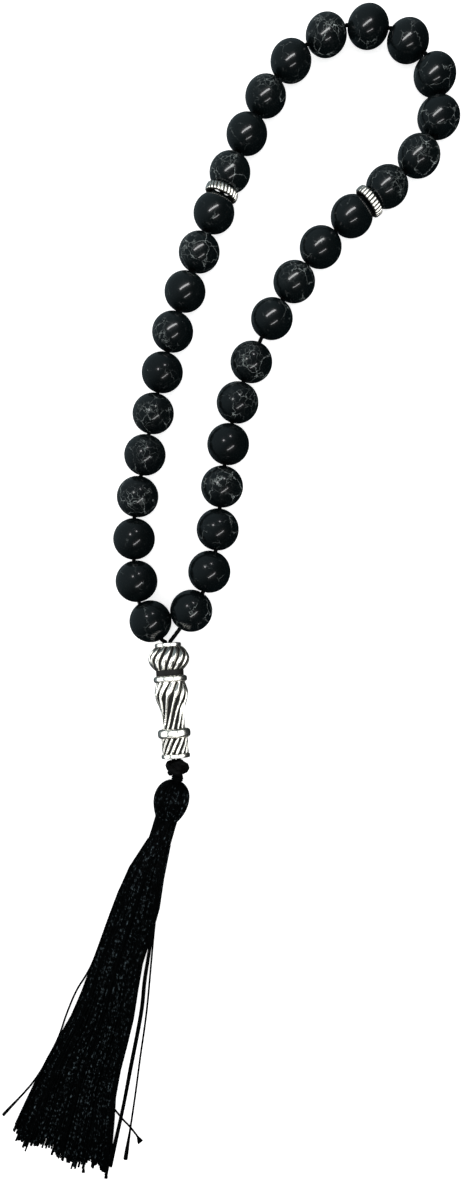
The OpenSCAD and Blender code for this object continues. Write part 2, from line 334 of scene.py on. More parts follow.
def cord_stretch(start, end, steps=36, sides=15):
    """A laid cord with half-round ends. With x the share of the radius by which a ring lies past
    an end, its radius is sqrt(1 - x^2), less the ply depth x (1 - ply) / 2, and ply is
    cos(plies x (angle - 2 pi s / lay))."""
    length = np.linalg.norm(end - start)
    s = (length + 2 * CORD_RADIUS) * (1 - np.cos(pole_to_pole(steps))) / 2 - CORD_RADIUS
    over = np.maximum(np.maximum(-s, s - length), 0) / CORD_RADIUS
    ply = np.cos(CORD_PLIES * (all_round(sides) - 2 * np.pi * s[:, None] / CORD_LAY))
    radii = CORD_RADIUS * np.sqrt(1 - over ** 2)[:, None] * (1 - PLY_DEPTH * (1 - ply) / 2)
    path = start + (end - start) / length * s[:, None]
    points, quads, caps = tubes(path[None], radii[None], sides)
    return points.reshape(-1, 3), quads, caps, ply.ravel()


def joined(parts):
    """Several meshes as one: the corners follow each other and the faces are renumbered."""
    starts = np.cumsum([0] + [len(p[0]) for p in parts[:-1]])
    return (np.concatenate([p[0] for p in parts]),
            np.concatenate([p[1] + k for p, k in zip(parts, starts)]),
            np.concatenate([p[2] + k for p, k in zip(parts, starts)]),
            np.concatenate([p[3] for p in parts]))


# Black waxed cotton cord, its colour painted with light and shade: a painted dull wax gleam on the
# plies' backs and painted shade in the grooves.
waxed_cord, tree = new_material("black_waxed_cord")
ply = add_node(tree, "Attribute", attribute_name="ply").outputs["Fac"]
place = add_node(tree, "TexCoord").outputs["Object"]
FIBRE = 0.12  # mm, the width of the fuzz that still shows, a quarter of the noise's cell
fuzz = add_node(tree, "TexNoise", {"Scale": 1000 / FIBRE / 4, "Detail": 4.0}, {"Vector": place})
# Painted gleam and shade: by the ply value, the colour is lighter on the plies' backs and darker in
# the grooves.
lit = add_node(tree, "MapRange", {"From Min": -0.6, "From Max": 1.0}, {"Value": ply})
blend = add_node(tree, "Math", {}, {0: lit.outputs[0], 1: fuzz.outputs["Fac"]}, operation="MULTIPLY")
ramp = add_node(tree, "ValToRGB", {}, {"Fac": blend.outputs[0]})
ramp.color_ramp.elements[0].color = colour("#020202")
ramp.color_ramp.elements[1].color = colour("#0d0f11")
dull = add_node(tree, "MapRange", {"To Min": 0.45, "To Max": 0.75}, {"Value": fuzz.outputs["Fac"]})
relief = add_node(tree, "Bump", {"Strength": 0.35, "Distance": 0.05 * MM},
                  {"Height": fuzz.outputs["Fac"]})
finish_material(tree, add_node(tree, "BsdfPrincipled", {"Specular IOR Level": 0.2},
                               {"Base Color": ramp.outputs[0], "Roughness": dull.outputs[0],
                                "Normal": relief.outputs[0]}))

# Each row goes from its first bead, whose number it bears, to the bead before the next row's, and
# the last row goes over the crown
rows = sorted(name for name in frame["nodes"] if name.startswith("cord_row_"))
first_beads = [int(name[-2:]) for name in rows]
last_beads = [n - 1 for n in first_beads[1:]] + [SIDE_BEADS]
for row, first, last in zip(rows, first_beads, last_beads):
    left = [bends[n] for n in range(first - 1, last + 1)]
    other = [bends[BEADS - n] for n in range(first - 1, last + 1)]
    if first == 1:
        left, other = [mouth_points[-1]] + left, [mouth_points[1]] + other
    stretches = [cord_stretch(a, b) for run in (left, other) for a, b in zip(run, run[1:])]
    if last == SIDE_BEADS:
        stretches.append(cord_stretch(bends[SIDE_BEADS], bends[SIDE_BEADS + 1]))
    points, quads, caps, ply = joined(stretches)
    cord = put_mesh("stringing_" + row, points, quads, waxed_cord, caps, ply=ply)
    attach(cord, "row_%02d" % first)
    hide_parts(row)

knot_top = mouth - imam_up * (imam_length + CORD_OUT)
ends = [cord_stretch(mouth_points[side], knot_top + imam_right * side * CORDS_APART / 2, 80)
        for side in (-1, 1)]
points, quads, caps, ply = joined(ends)
cord = put_mesh("stringing_cord_ends", points, quads, waxed_cord, caps, ply=ply)
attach(cord, "cord_end")
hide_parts("cord_tail")

# ---- Stone beads -------------------------------------------------------------------------------
# Thirty-three 10 mm beads of black web stone, tumbled round, drilled through, eased at the hole
# and polished to a glass-like gloss. Pale veins run through the stone as a spider's web, and no
# two beads have as much of it: some are nearly plain and some have a dense patch.
BEAD_RADIUS = 5.0 * MM
HOLE_RADIUS = 0.8 * MM
HOLE_EASE = 0.25 * MM
BEAD_TURNS, ARC_STEPS = 64, 40
# How much web each bead shows, from 1 at the imam to 33
WEB = [0.35, 0.25, 0.3, 0.75, 0.6, 0.75, 0.3, 0.5, 0.4, 0.8, 0.3,
       0.6, 0.25, 0.6, 0.35, 0.9, 0.45, 0.35, 0.45, 0.5, 0.75, 0.65,
       0.2, 0.3, 0.65, 0.35, 0.75, 0.6, 0.3, 0.85, 0.4, 0.3, 0.45]
# Beads with a dense patch of web, and its place on the bead, in radii to the right and up
PATCHES = {4: (0.0, -0.2), 5: (0.2, 0.1), 6: (0.0, -0.2), 8: (-0.4, -0.1), 10: (-0.4, 0.1),
           12: (-0.1, 0.3), 14: (0.2, 0.3), 16: (0.0, 0.0), 21: (0.2, 0.1), 22: (0.4, 0.1),
           25: (0.0, 0.3), 27: (-0.1, 0.1), 28: (0.5, 0.1), 30: (0.1, 0.1)}
PATCH_WIDTH = 0.45  # of the radius
NEAR_BEADS = 7  # on each side of the imam


def spokes(turns, side, top):
    """Directions once round an axis: sin a x side + cos a x top, for each angle a."""
    a = all_round(turns)[:, None]
    return np.sin(a) * side + np.cos(a) * top


def lathe(profile, turns, origin, heading, side, top):
    """A turned shape: origin + s x heading + r x spoke, for each pair of s and r along the
    profile and each spoke round it."""
    s, r = profile.T[..., None, None]
    return origin + s * heading + r * spokes(turns, side, top)


def bead_profile():
    """The bead's half section as a closed line: the round outside as R (cos f, sin f), a quarter
    round at each rim of the hole, and the straight wall of the hole between them."""
    start = math.asin((HOLE_RADIUS + HOLE_EASE) / BEAD_RADIUS)
    f = np.linspace(start, np.pi - start, ARC_STEPS)
    outside = np.stack([-BEAD_RADIUS * np.cos(f), BEAD_RADIUS * np.sin(f)], 1)
    edge = BEAD_RADIUS * math.cos(start)
    q = np.linspace(np.pi / 2, 0, 4)[1:]
    far = np.stack([edge - HOLE_EASE * (1 - np.sin(q)),
                    HOLE_RADIUS + HOLE_EASE * (1 - np.cos(q))], 1)
    near = far[::-1] * [-1, 1]
    return np.concatenate([outside, far, near])


# Black web stone, polished: almost black with a cold tint, a clear gloss that mirrors the lamps
# as sharp streaks, and thin chalky veins lying in the surface, a little duller than the stone.
WEB_CELL = 4.2  # mm between veins
FINE_CELL = 1.9  # mm between veins in a dense patch
VEIN_WIDTH = 0.17  # mm
WANDER = 2.6  # mm in which a vein changes its way
WANDER_REACH = 3.4 * MM  # how far it can be pushed aside
BARE = 5.0  # mm, the width of a spot that has web, or has none
web_stone, tree = new_material("polished_black_web_stone")
place = add_node(tree, "TexCoord").outputs["Object"]
web_share = add_node(tree, "Attribute", attribute_name="web").outputs["Fac"]
patch_share = add_node(tree, "Attribute", attribute_name="patch").outputs["Fac"]
drift = add_node(tree, "TexNoise", {"Scale": 1000 / WANDER, "Detail": 4.0, "Roughness": 0.65},
                 {"Vector": place})
centred = add_node(tree, "VectorMath", {1: (0.5, 0.5, 0.5)}, {0: drift.outputs["Color"]},
                   operation="SUBTRACT")
pushed = add_node(tree, "VectorMath", {"Scale": WANDER_REACH}, {0: centred.outputs[0]},
                  operation="SCALE")
bent = add_node(tree, "VectorMath", {}, {0: place, 1: pushed.outputs[0]}, operation="ADD").outputs[0]
spread = add_node(tree, "TexNoise", {"Scale": 1000 / BARE, "Detail": 3.0, "Roughness": 0.65},
                  {"Vector": place}).outputs["Fac"]
limit = add_node(tree, "MapRange", {"To Min": 0.60, "To Max": 0.36}, {"Value": web_share}).outputs[0]
over = add_node(tree, "Math", {}, {0: spread, 1: limit}, operation="SUBTRACT").outputs[0]
shown = add_node(tree, "MapRange", {"From Max": 0.15}, {"Value": over}).outputs[0]
webs = []
for cell, width, share in ((WEB_CELL, VEIN_WIDTH, shown),
                           (FINE_CELL, 0.8 * VEIN_WIDTH, patch_share)):
    lace = add_node(tree, "TexVoronoi", {"Scale": 1000 / cell}, {"Vector": bent},
                    feature="DISTANCE_TO_EDGE").outputs["Distance"]
    line = add_node(tree, "MapRange",
                    {"From Min": width / 2 / cell, "From Max": 0.1 * width / cell},
                    {"Value": lace}).outputs[0]
    webs.append(add_node(tree, "Math", {}, {0: line, 1: share}, operation="MULTIPLY").outputs[0])
veins = add_node(tree, "Math", {}, {0: webs[0], 1: webs[1]}, operation="MAXIMUM").outputs[0]
most = add_node(tree, "MapRange",
                {"From Min": 0.2, "From Max": 0.8, "To Min": 0.35, "To Max": 0.95},
                {"Value": web_share}).outputs[0]
strength = add_node(tree, "MapRange", {"From Min": 0.35, "From Max": 0.68, "To Min": 0.06},
                    {"Value": drift.outputs["Fac"], "To Max": most}).outputs[0]
veins = add_node(tree, "Math", {}, {0: veins, 1: strength}, operation="MULTIPLY").outputs[0]
# The colour mix has its factor in socket 0, and its two colours in 6, the stone, and 7, the vein
stone = add_node(tree, "Mix", {6: colour("#030708"), 7: colour("#9aa3a1")}, {0: veins},
                 data_type="RGBA")
finish_material(tree, add_node(tree, "BsdfPrincipled",
                               {"IOR": 1.54, "Roughness": 0.26, "Specular IOR Level": 0.25,
                                "Coat Weight": 0.75, "Coat Roughness": 0.05, "Coat IOR": 1.54},
                               {"Base Color": stone.outputs[2]}))

profile = bead_profile()
for n, (centre, heading) in lines.items():
    points = lathe(profile, BEAD_TURNS, centre, heading, np.cross(heading, UP), UP)
    facing = (points - centre) / BEAD_RADIUS
    patch = np.zeros(facing.shape[:2])
    if n in PATCHES:
        away = np.linalg.norm(facing[..., :2] - PATCHES[n], axis=-1)
        patch = np.exp(-(away / PATCH_WIDTH) ** 2) * (facing[..., 2] > 0)
    bead = put_mesh("stone_bead_%02d" % n, points, grid_quads(len(profile), BEAD_TURNS, True),
                    web_stone, web=np.full(patch.shape, WEB[n - 1]), patch=patch)
    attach(bead, "bead_%02d" % n)
    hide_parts("bead_%02d" % n)
    lit_by = far_beads if NEAR_BEADS < n <= BEADS - NEAR_BEADS else near_beads
    lit_by.objects.link(bead)

# ---- Spacer rings ------------------------------------------------------------------------------
# Two cast silver-plated rings that part the loop into three elevens. Each sits over the cord in
# the groove between two beads, and its edge is cast as a row of slanted grains like a rope's.
RING_RADIUS = 4.1 * MM
RING_HOLE = 2.7 * MM
RING_WIDTH = 1.9 * MM
GRAINS = 26
GRAIN_DEPTH = 0.42 * MM
GRAIN_SLANT = 1.1  # radians of a grain's phase over half the ring's width
RING_ROWS, RING_TURNS = 40, 312
silver_pieces = bpy.data.collections.new("silver_pieces")

# Antique silver plate on cast alloy: bright where hands and polish reach, black where the
# oxide is left in the hollows, with a warm grey between the two.
aged_silver, tree = new_material("antique_silver_plate")
worn = add_node(tree, "Attribute", attribute_name="worn").outputs["Fac"]
place = add_node(tree, "TexCoord").outputs["Object"]
STAIN = 0.9  # mm, the width of a stain, half of the noise's cell
PITTING = 0.14  # mm, the width of a casting pit, a quarter of the noise's cell
stain = add_node(tree, "TexNoise", {"Scale": 1000 / STAIN / 2, "Detail": 4.0, "Roughness": 0.6},
                 {"Vector": place})
shift = add_node(tree, "MapRange", {"From Min": 0.3, "From Max": 0.7, "To Min": -0.2, "To Max": 0.2},
                 {"Value": stain.outputs["Fac"]})
reach = add_node(tree, "Math", {}, {0: worn, 1: shift.outputs[0]}, operation="ADD")
clean = add_node(tree, "MapRange", {"From Min": 0.36, "From Max": 0.56}, {"Value": reach.outputs[0]},
                 interpolation_type="SMOOTHSTEP").outputs[0]
metal = add_node(tree, "ValToRGB", {}, {"Fac": clean})
metal.color_ramp.elements[0].color = colour("#060504")
metal.color_ramp.elements[1].color = colour("#f4f3ec")
middle = metal.color_ramp.elements.new(0.5)
middle.color = colour("#a5a293")
satin = add_node(tree, "MapRange", {"To Min": 0.62, "To Max": 0.24}, {"Value": clean})
metallic = add_node(tree, "MapRange", {"From Max": 0.5}, {"Value": clean})
pits = add_node(tree, "TexNoise", {"Scale": 1000 / PITTING / 4, "Detail": 3.0}, {"Vector": place})
relief = add_node(tree, "Bump", {"Strength": 0.25, "Distance": 0.04 * MM},
                  {"Height": pits.outputs["Fac"]})
finish_material(tree, add_node(tree, "BsdfPrincipled", {"Specular IOR Level": 0.2},
                               {"Base Color": metal.outputs[0], "Roughness": satin.outputs[0],
                                "Metallic": metallic.outputs[0], "Normal": relief.outputs[0]}))


def squared(w):
    """The root of w's size with w's sign: on a sine and cosine it turns a circle to a superellipse
    of power 4, which is a rounded square."""
    return np.sign(w) * np.abs(w) ** 0.5


def ring_mesh(origin, heading):
    """A ring whose section is a rounded box, with grains on its outer half.

    The radius loses depth x out x (1 - grain^0.7), where grain is |cos(g / 2)|, g is grains x
    angle + slant x 2 s / width, and out goes from 0 at the middle of the section to 1 outside.
    """
    v = all_round(RING_ROWS)[:, None]
    s = RING_WIDTH / 2 * squared(np.sin(v))
    out = squared(np.cos(v))
    half = (RING_RADIUS - RING_HOLE) / 2
    r = RING_RADIUS - half + half * out
    grain = np.abs(np.cos((GRAINS * all_round(RING_TURNS) + 2 * GRAIN_SLANT * s / RING_WIDTH) / 2))
    out = np.clip(out, 0, 1)
    r = r - GRAIN_DEPTH * (1 - grain ** 0.7) * out
    around = spokes(RING_TURNS, np.cross(heading, UP), UP)
    points = origin + s[..., None] * heading + r[..., None] * around
    return points, np.clip(1.1 * grain * out ** 0.5, 0, 1)


for name in ("spacer_left", "spacer_right"):
    points, worn = ring_mesh(joint_point("turn_" + name), joint_heading("turn_" + name))
    ring = put_mesh("grained_" + name, points, grid_quads(RING_ROWS, RING_TURNS, True), aged_silver,
                    worn=worn)
    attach(ring, name)
    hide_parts(name)
    silver_pieces.objects.link(ring)

# ---- Imam bead ---------------------------------------------------------------------------------
# A cast silver-plated bead in the form of a minaret. From the mouth down: a thin rim, an onion
# bulb of twisted lobes, a black groove, a collar, a vase with twisted ribs that thin out toward
# its foot, a second collar, a drum with slanted flutes and a base rim. Drilled for two cords.
IMAM_BORE = 1.4 * MM
# In mm. Each part starts and ends at a depth below the mouth, and its radii follow.
CORE = 2.5
BULB = (0.9, 6.5, 3.05, 4.85)  # radius at its ends and at its middle
VASE = (9.1, 20.4, 3.2, 2.65, 0.95)  # radius at its top and at its foot, and the belly's swell
DRUM = (22.1, 26.1, 3.1)
GROOVE = (6.4, 8.0, 3.25)
# Rim, collar, second collar and base rim: radius at the middle and how square the edges are
BANDS = [(0.0, 1.0, 3.1, 4), (7.7, 9.3, 3.95, 3), (20.1, 22.3, 3.85, 3), (25.9, 27.0, 3.35, 4)]
# Lobes of the bulb and flutes of the drum: count, lean in degrees at a radius in mm, depth in mm
LOBES, FLUTES = (14, 28, 4.8, 0.62), (13, 30, 3.0, 0.5)
RIBS = (12, 31, 0.62)  # of the vase, which lean as much at any radius
FOOT_LEAN = 19  # degrees, of the ribs below the vase's belly
# How worn: 0 is black and 1 is bright
BORE_WORN, GROOVE_WORN, EDGE_WORN, BAND_WORN = 0.2, 0.18, 0.42, 0.77
IMAM_STEPS, IMAM_TURNS = 380, 168


def slope(t, low, high):
    """0 below low, 1 above high, and a smooth step 3x^2 - 2x^3 between them."""
    x = np.clip((t - low) / (high - low), 0, 1)
    return x * x * (3 - 2 * x)


def ribs(angle, t, count, slant, radius, sharp):
    """Twisted ribs, 0 to 1: ((1 + cos(count x angle + twist x t)) / 2) ^ sharp, where the twist
    makes a rib lean from the axis by the slant, tan(slant) = radius x twist / count."""
    twist = count * np.tan(np.radians(slant)) / radius
    return ((1 + np.cos(count * angle + twist * t)) / 2) ** sharp


def imam_bulb(t, a):
    """The bulb's radius swells by sin(pi u)^0.7 from its ends, with u the share of the way down,
    and loses the lobes' depth x (1 - lobe) x sin(pi u)^0.5. The lobes are the brighter."""
    start, end, low, high = BULB
    count, lean, lean_at, depth = LOBES
    arch = np.sin(np.pi * np.clip((t - start) / (end - start), 0, 1))
    lobe = ribs(a, t, count, lean, lean_at, 0.7)
    return low + (high - low) * arch ** 0.7 - depth * (1 - lobe) * arch ** 0.5, lobe ** 1.1


def imam_vase(t, a):
    """The vase narrows by a smooth step and has a bell curve as its belly. It loses the ribs'
    depth x (1 - rib) x sin(pi u)^0.35. A rib is a cosine wave to a power that grows below the
    belly, so that it thins, and its twist adds up count x tan(lean) / radius on the way down."""
    start, end, top, foot, swell = VASE
    count, lean, depth = RIBS
    u = np.clip((t - start) / (end - start), 0, 1)
    plain = top + (foot - top) * slope(u, 0, 0.8) + swell * np.exp(-((u - 0.28) / 0.22) ** 2)
    tilt = np.tan(np.radians(lean + (FOOT_LEAN - lean) * slope(t, 10, 14)))
    twist = np.cumsum(count * tilt / plain, axis=0) * (t[1] - t[0])
    rib = ((1 + np.cos(count * a + twist)) / 2) ** (0.55 + 1.9 * slope(t, 11.5, 13.5))
    return plain - depth * (1 - rib) * np.sin(np.pi * u) ** 0.35, rib ** 0.9


def imam_drum(t, a):
    """The drum is straight and loses the flutes' depth x (1 - flute)."""
    count, lean, lean_at, depth = FLUTES
    flute = ribs(a, t, count, lean, lean_at, 1.1)
    return DRUM[2] - depth * (1 - flute), flute


def imam_shape():
    """Depth below the mouth, radius and brightness, for each step down and each angle round.

    Bulb, vase, drum and groove take the core's place between their two ends. A band stands over
    them where it is wider: core + (radius - core) x (1 - x^p)^(1/p), with x from 0 at its middle
    to 1 at its edges and p its squareness, and it is brightest at its middle.
    """
    t = np.linspace(0, imam_length / MM, IMAM_STEPS)[:, None]
    a = all_round(IMAM_TURNS)
    bright = np.zeros((IMAM_STEPS, IMAM_TURNS))
    radius = bright + CORE
    for part, (over, shine) in ((BULB, imam_bulb(t, a)), (VASE, imam_vase(t, a)),
                                (DRUM, imam_drum(t, a)), (GROOVE, (GROOVE[2], GROOVE_WORN))):
        inside = (t > part[0]) & (t < part[1])
        radius, bright = np.where(inside, over, radius), np.where(inside, shine, bright)
    for start, end, wide, power in BANDS:
        x = np.clip(np.abs(2 * t - start - end) / (end - start), 0, 1)
        band = CORE + (wide - CORE) * (1 - x ** power) ** (1 / power)
        over = (band > radius) & (x < 1)
        radius = np.where(over, band, radius)
        bright = np.where(over, EDGE_WORN + (BAND_WORN - EDGE_WORN) * (1 - x ** 2), bright)
    return t * MM, radius * MM, bright


t, radius, bright = imam_shape()
around = spokes(IMAM_TURNS, imam_right, UP)
shell = mouth - t[..., None] * imam_up + radius[..., None] * around
bore = mouth - t[[-1, 0], None] * imam_up + IMAM_BORE * around
points = np.concatenate([shell, bore])
imam = put_mesh("minaret_imam", points, grid_quads(IMAM_STEPS + 2, IMAM_TURNS, True), aged_silver,
                crease=55, worn=np.concatenate([bright, np.full((2, IMAM_TURNS), BORE_WORN)]))
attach(imam, "imam")
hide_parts("imam_bead")
silver_pieces.objects.link(imam)

# White cards round the silver: polished metal is only as bright as what stands round it.
lamp("card_above", (20, 60, 300), (20, 60, 0), (300, 300), 2.5, 0, silver_pieces)
lamp("card_left", (-150, -10, 75), (0, 0, 0), (220, 130), 2.8, 90, silver_pieces)
lamp("card_right", (140, 10, 70), (0, 0, 0), (220, 120), 2.4, 90, silver_pieces)
lamp("card_near", (20, -170, 80), (0, 0, 0), (200, 120), 1.6, 0, silver_pieces)

# ---- Stop knot ---------------------------------------------------------------------------------
# Both ends of the black waxed cord are tied into one ball knot under the imam and drawn tight,
# so that nothing can slip off. The doubled cord stands out from it in thick turns.
KNOT_TURN = 0.72 * MM  # radius of the doubled cord in the knot
KNOT_RING, KNOT_TUBE = 1.45 * MM, 0.80 * MM
KNOT_UNEVEN = 0.1 * MM
KNOT_LAYS = 30  # times that a ply goes round the cord along the knot
KNOT_STEPS, KNOT_SIDES = 240, 15
HEART_RADIUS = 2.0 * MM
HEART_STEPS = 24
knot_span = cad_points("stop_knot") @ imam_up
knot_middle = mouth + imam_up * ((knot_span.max() + knot_span.min()) / 2 - mouth @ imam_up)
knot_half = np.ptp(knot_span) / 2


def knot_turns():
    """A cord wound three times round a ring while it goes twice round the imam's axis.

    At each q its middle is R + r cos 3q + uneven x sin(5q + 1) out from the axis and h sin 3q
    along it, at an angle of 2q. Round that middle the laid cord is drawn as the bare cord is.
    """
    q = all_round(KNOT_STEPS)[:, None]
    level = np.cos(2 * q) * imam_right + np.sin(2 * q) * UP
    out = KNOT_RING + KNOT_TUBE * np.cos(3 * q) + KNOT_UNEVEN * np.sin(5 * q + 1)
    path = out * level + (knot_half - KNOT_TURN) * np.sin(3 * q) * imam_up
    heading = unit(np.roll(path, -1, 0) - np.roll(path, 1, 0))
    side = unit(np.cross(heading, path - KNOT_RING * level))[:, None]
    top = np.cross(side, heading[:, None])
    a = all_round(KNOT_SIDES)
    ply = np.cos(CORD_PLIES * a - KNOT_LAYS * q)
    radii = KNOT_TURN * (1 - PLY_DEPTH * (1 - ply) / 2)
    spread = side * np.cos(a)[:, None] + top * np.sin(a)[:, None]
    return knot_middle + path[:, None] + radii[..., None] * spread, ply


def heart_of(name, middle, heading, side, half, radius, material, **even):
    """The closed body under wound cord or thread: half x cos f along the heading and radius x
    sin f out from it, with the same attribute value all over."""
    f = pole_to_pole(HEART_STEPS)
    profile = np.stack([-half * np.cos(f), radius * np.sin(f)], 1)
    points = lathe(profile, HEART_STEPS, middle, heading, side, UP)
    values = {key: np.full(HEART_STEPS ** 2, value) for key, value in even.items()}
    return put_mesh(name, points, grid_quads(HEART_STEPS, HEART_STEPS), material,
                    end_caps(HEART_STEPS, HEART_STEPS), **values)


# The heart gets the grooves' painted shade all over: its ply value of -0.5 is near the groove end of
# the cord's colour.
core = heart_of("stop_knot_heart", knot_middle, imam_up, imam_right, knot_half, HEART_RADIUS,
                waxed_cord, ply=-0.5)
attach(core, "cord_end")
turns, ply = knot_turns()
knot = put_mesh("stop_knot_turns", turns, grid_quads(KNOT_STEPS, KNOT_SIDES, True), waxed_cord,
                ply=ply)
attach(knot, "cord_end")
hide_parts("stop_knot")

# ---- Tassel neck -------------------------------------------------------------------------------
# Where the cord leaves the knot it crosses the tassel's own loop, and both are whipped together
# with black silk. This soft neck is all that the tassel hangs from, so it swings and lifts here.
neck = joint_point("neck_swing")
tassel_right = -joint_heading("neck_lift")
tassel_down = np.array([tassel_right[1], -tassel_right[0], 0.0])
NECK_RADIUS = 1.15 * MM
WHIPPING = 0.28 * MM


def whipped_ball(turns=7, steps=260):
    """A thread wound round a ball: while its angle f from the pole goes evenly from one pole
    to the other, its angle round the ball is 2 x turns x f."""
    f = pole_to_pole(steps, 0.12)[:, None]
    g = 2 * turns * f
    around = np.cos(g) * tassel_right + np.sin(g) * UP
    path = np.sin(f) * around - np.cos(f) * tassel_down
    return neck + NECK_RADIUS * path, path


# Black silk floss: smooth thread with a dull sheen along its length, painted into its colour as small
# bright glints, and no two threads alike.
silk, tree = new_material("black_silk_floss")
tone = add_node(tree, "Attribute", attribute_name="tone").outputs["Fac"]
place = add_node(tree, "TexCoord").outputs["Object"]
# GLEAM sizes the painted glints: the noise that paints them into the colour also sets the roughness
# and the bumps.
GLEAM = 0.35  # mm, the length of thread that catches the light at once, half of the noise's cell
twist = add_node(tree, "TexNoise", {"Scale": 1000 / GLEAM / 2, "Detail": 3.0, "Roughness": 0.7},
                 {"Vector": place})
catch = add_node(tree, "MapRange", {"From Min": 0.4, "From Max": 0.75},
                 {"Value": twist.outputs["Fac"]})
lit = add_node(tree, "Math", {}, {0: tone, 1: catch.outputs[0]}, operation="MULTIPLY")
# Painted sheen: the ramp turns the glints into colour, from the silk's black up to a painted highlight
# grey, more on the lighter-toned threads.
silk_colour_with_painted_glints = add_node(tree, "ValToRGB", {}, {"Fac": lit.outputs[0]})
silk_colour_with_painted_glints.color_ramp.elements[0].color = colour("#000101")
silk_colour_with_painted_glints.color_ramp.elements[1].color = colour("#505d62")
deep = silk_colour_with_painted_glints.color_ramp.elements.new(0.45)
deep.color = colour("#030506")
dull = add_node(tree, "MapRange", {"To Min": 0.35, "To Max": 0.6}, {"Value": twist.outputs["Fac"]})
relief = add_node(tree, "Bump", {"Strength": 0.3, "Distance": 0.05 * MM},
                  {"Height": twist.outputs["Fac"]})
finish_material(tree, add_node(tree, "BsdfPrincipled", {"Specular IOR Level": 0.06},
                               {"Base Color": silk_colour_with_painted_glints.outputs[0], "Roughness": dull.outputs[0],
                                "Normal": relief.outputs[0]}))

path, outward = whipped_ball()
points, quads, caps = tubes(path[None], WHIPPING, 8, outward[None])
wrap = put_mesh("neck_whipping", points, quads, silk, caps, tone=np.full(points.shape[:-1], 0.6))
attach(wrap, "neck")
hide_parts("neck_link")
inner = heart_of("neck_cords", neck, tassel_down, tassel_right, NECK_RADIUS, NECK_RADIUS, silk,
                 tone=0.2)
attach(inner, "neck")

# ---- Tassel head and binding -------------------------------------------------------------------
# The black silk is folded over the loop's knot, which makes the round head, and whipped tight
# under it. Below the whipping the threads run on as a smooth sleeve before they fall apart.
rng = np.random.default_rng(33)


def tassel_span(node):
    """Where a node begins and ends below the neck, along the tassel."""
    reach = (cad_points(node) - neck) @ tassel_down
    return reach.min(), reach.max()


head_low, head_high = tassel_span("tassel_head")
binding_high = tassel_span("tassel_binding")[1]
head_z = sum(c[2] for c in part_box("tassel_head")) / 2
binding_z = sum(c[2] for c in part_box("tassel_binding")) / 2
HEAD_RADIUS, BINDING_RADIUS = 3.95 * MM, 2.4 * MM
MOUTH_RADIUS = 1.1 * MM
HEAD_WIDEST = 0.46  # of its height, from the top
THREAD = 0.17 * MM  # radius of a silk thread
HEAD_THREADS, SLEEVE_THREADS = 96, 72
WHIP_LENGTH = 2.6 * MM
WHIP_PITCH = 0.33 * MM


def head_radius(x):
    """Radius of the head at x from 0, its top, to 1: a quarter of an ellipse from the mouth out
    to the widest place, and half a parabola from there in to the binding."""
    above = np.sqrt(np.clip(1 - ((HEAD_WIDEST - x) / HEAD_WIDEST) ** 2, 0, 1))
    below = np.clip((x - HEAD_WIDEST) / (1 - HEAD_WIDEST), 0, 1)
    under = 1 - below ** 2
    grow = MOUTH_RADIUS + (HEAD_RADIUS - MOUTH_RADIUS) * above
    fall = BINDING_RADIUS + (HEAD_RADIUS - BINDING_RADIUS) * under
    return np.where(x < HEAD_WIDEST, grow, fall)


def axis_height(s):
    """Height of the tassel's middle line: the head's, then a smooth step down to the binding's."""
    start = head_low + 0.4 * (head_high - head_low)
    return head_z + (binding_z - head_z) * slope(s, start, head_high)


def round_tassel(s, r, angle):
    """Points at the reach s below the neck, the radius r and the angle from straight up."""
    middle = neck + s[..., None] * tassel_down
    middle[..., 2] = axis_height(s)
    across, up = r * np.sin(angle), r * np.cos(angle)
    return middle + across[..., None] * tassel_right + up[..., None] * UP


def lengthwise(count, start, end, radius_at, wander, steps=26, sides=5, radius=THREAD):
    """Threads laid side by side from start to end, on the radius that radius_at gives for the
    share x of the way, a little deeper or higher. Each strays in angle by a slow sine of its own,
    and each has a tone."""
    x = (1 - np.cos(np.linspace(0, np.pi, steps)))[None] / 2
    s = start + (end - start) * x + np.zeros((count, 1))
    base = 2 * np.pi * (np.arange(count) + rng.uniform(-0.3, 0.3, count))[:, None] / count
    stray = wander * rng.uniform(0.3, 1, (count, 1)) * np.sin(
        2 * np.pi * (x * rng.uniform(0.5, 1.5, (count, 1)) + rng.uniform(0, 1, (count, 1))))
    lift = radius * rng.uniform(-0.5, 0.6, (count, 1))
    paths = round_tassel(s, radius_at(x) + lift, base + stray)
    tone = np.broadcast_to(rng.uniform(0.5, 1.15, (count, 1, 1)), (count, steps, sides))
    return paths, tone


def solid_of_turning(name, start, end, radius_at, shrink, steps=30, turns=36):
    """The closed body under a layer of threads: the radius that radius_at gives for the share x
    of the way, less shrink, at each angle round."""
    x = (1 - np.cos(np.linspace(0, np.pi, steps)))[:, None] / 2
    s = np.broadcast_to(start + (end - start) * x, (steps, turns))
    points = round_tassel(s, radius_at(x) - shrink, all_round(turns))
    return put_mesh(name, points, grid_quads(steps, turns), silk, end_caps(steps, turns),
                    tone=np.full(steps * turns, 0.25))


def sleeve_radius(x):
    """Radius of the sleeve, which widens a little at an even rate."""
    return BINDING_RADIUS + 0.15 * MM * x


paths, tone = lengthwise(HEAD_THREADS, head_low + 2 * THREAD, head_high + 0.3 * MM, head_radius, 0.05)
points, quads, caps = tubes(paths, THREAD, 5)
head = put_mesh("tassel_head_threads", points, quads, silk, caps, tone=tone)
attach(head, "tassel")
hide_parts("tassel_head")
stuffing = solid_of_turning("tassel_head_core", head_low, head_high, head_radius, 0.1 * MM)
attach(stuffing, "tassel")


def whipping_path(steps_per_turn=36):
    """A close helix under the head: it goes down by the pitch for each time it goes round."""
    turns = WHIP_LENGTH / WHIP_PITCH
    g = np.linspace(0, 2 * np.pi * turns, int(turns * steps_per_turn))
    s = head_high - 0.2 * MM + WHIP_PITCH * g / (2 * np.pi)
    return round_tassel(s, np.full(len(g), BINDING_RADIUS + 0.12 * MM), g)[None]


